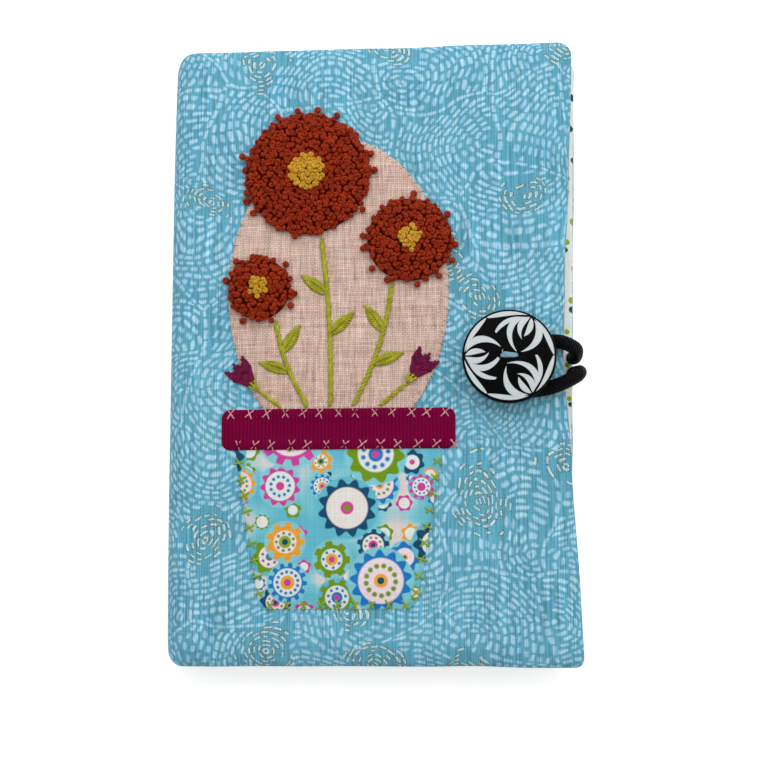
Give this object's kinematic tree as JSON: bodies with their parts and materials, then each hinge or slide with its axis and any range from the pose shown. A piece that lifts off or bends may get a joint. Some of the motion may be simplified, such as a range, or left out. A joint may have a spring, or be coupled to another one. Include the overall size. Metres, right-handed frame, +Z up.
{
  "type": "needle book",
  "caption": "Padded cloth needle book with an appliquéd cover, felt leaves on a folding spine, and an elastic loop that hooks over a round button.",
  "frame": {"origin": "on the table, at the middle of the shut book's back cover", "axes": "+X from spine to fore edge, +Y from tail to head, +Z up out of the front cover"},
  "size_m": [0.1135, 0.17, 0.0246],
  "materials": {
    "turquoise_cotton": "printed quilting cotton, matt",
    "white_batting": "soft loose batting",
    "printed_lining": "printed quilting cotton, matt",
    "cream_felt": "wool felt",
    "natural_linen": "plain-weave linen, matt",
    "printed_cotton": "printed cotton, matt",
    "wine_corduroy": "fine-wale corduroy",
    "rust_thread": "stranded cotton in knots",
    "yellow_thread": "stranded cotton in knots",
    "green_thread": "stranded cotton",
    "wine_thread": "stranded cotton, satin stitch",
    "blue_thread": "sewing thread",
    "cream_thread": "sewing thread",
    "dark_horn": "polished, with off-white ornament",
    "black_elastic": "braided round elastic"
  },
  "bodies": {
    "back_cover": {"back_outer_cloth": "turquoise_cotton", "back_batting": "white_batting", "back_lining": "printed_lining"},
    "spine": {"spine_outer_cloth": "turquoise_cotton", "spine_batting": "white_batting", "spine_lining": "printed_lining", "felt_fold_outer": "cream_felt", "felt_fold_inner": "cream_felt", "binding_thread": "cream_thread"},
    "front_cover": {"front_outer_cloth": "turquoise_cotton", "front_batting": "white_batting", "front_lining": "printed_lining", "linen_oval": "natural_linen", "pot_patch": "printed_cotton", "pot_rim": "wine_corduroy", "bloom_large": "rust_thread", "bloom_medium": "rust_thread", "bloom_small": "rust_thread", "bloom_heart_large": "yellow_thread", "bloom_heart_medium": "yellow_thread", "bloom_heart_small": "yellow_thread", "sprig_large": "green_thread", "sprig_medium": "green_thread", "sprig_small": "green_thread", "bud_stem_left": "green_thread", "bud_stem_right": "green_thread", "bud_left": "wine_thread", "bud_right": "wine_thread", "button_shank": "blue_thread"},
    "button_body": {"button": "dark_horn", "button_thread": "blue_thread"},
    "leaf_1": {"felt_leaf_1": "cream_felt"},
    "leaf_2": {"felt_leaf_2": "cream_felt"},
    "leaf_3": {"felt_leaf_3": "cream_felt"},
    "leaf_4": {"felt_leaf_4": "cream_felt"},
    "loop": {"elastic_loop": "black_elastic"}
  },
  "joints": [
    {"name": "spine_fold", "type": "hinge", "parent": "back_cover", "child": "spine", "pos_m": [-0.05339, 0, 0.00161], "axis": [0, -1, 0], "range_deg": [0, 90]},
    {"name": "cover_fold", "type": "hinge", "parent": "spine", "child": "front_cover", "pos_m": [-0.05339, 0, 0.01339], "axis": [0, -1, 0], "range_deg": [0, 90]},
    {"name": "leaf_1_turn", "type": "hinge", "parent": "spine", "child": "leaf_1", "pos_m": [-0.0466, 0, 0.0043], "axis": [0, 1, 0], "range_deg": [0, 88]},
    {"name": "leaf_2_turn", "type": "hinge", "parent": "spine", "child": "leaf_2", "pos_m": [-0.0451, 0, 0.0058], "axis": [0, 1, 0], "range_deg": [0, 82]},
    {"name": "leaf_3_turn", "type": "hinge", "parent": "spine", "child": "leaf_3", "pos_m": [-0.0451, 0, 0.0092], "axis": [0, -1, 0], "range_deg": [0, 82]},
    {"name": "leaf_4_turn", "type": "hinge", "parent": "spine", "child": "leaf_4", "pos_m": [-0.0466, 0, 0.0107], "axis": [0, -1, 0], "range_deg": [0, 88]},
    {"name": "loop_swing", "type": "hinge", "parent": "back_cover", "child": "loop", "pos_m": [0.0551, -0.004, 0.0042], "axis": [0, 1, 0], "range_deg": [0, 80], "deforming": ["elastic_loop"]},
    {"name": "button_twist", "type": "hinge", "parent": "front_cover", "child": "button_body", "pos_m": [0.0375, -0.004, 0.0194], "axis": [0, 0, 1], "range_deg": [-25, 25]}
  ],
  "couplings": [
    {"joint": "cover_fold", "follows": "spine_fold", "ratio": 1},
    {"joint": "leaf_1_turn", "follows": "spine_fold", "ratio": 0.97},
    {"joint": "leaf_2_turn", "follows": "spine_fold", "ratio": 0.88},
    {"joint": "leaf_3_turn", "follows": "spine_fold", "ratio": 0.88},
    {"joint": "leaf_4_turn", "follows": "spine_fold", "ratio": 0.97},
    {"joint": "loop_swing", "follows": "spine_fold", "ratio": 0.88}
  ]
}
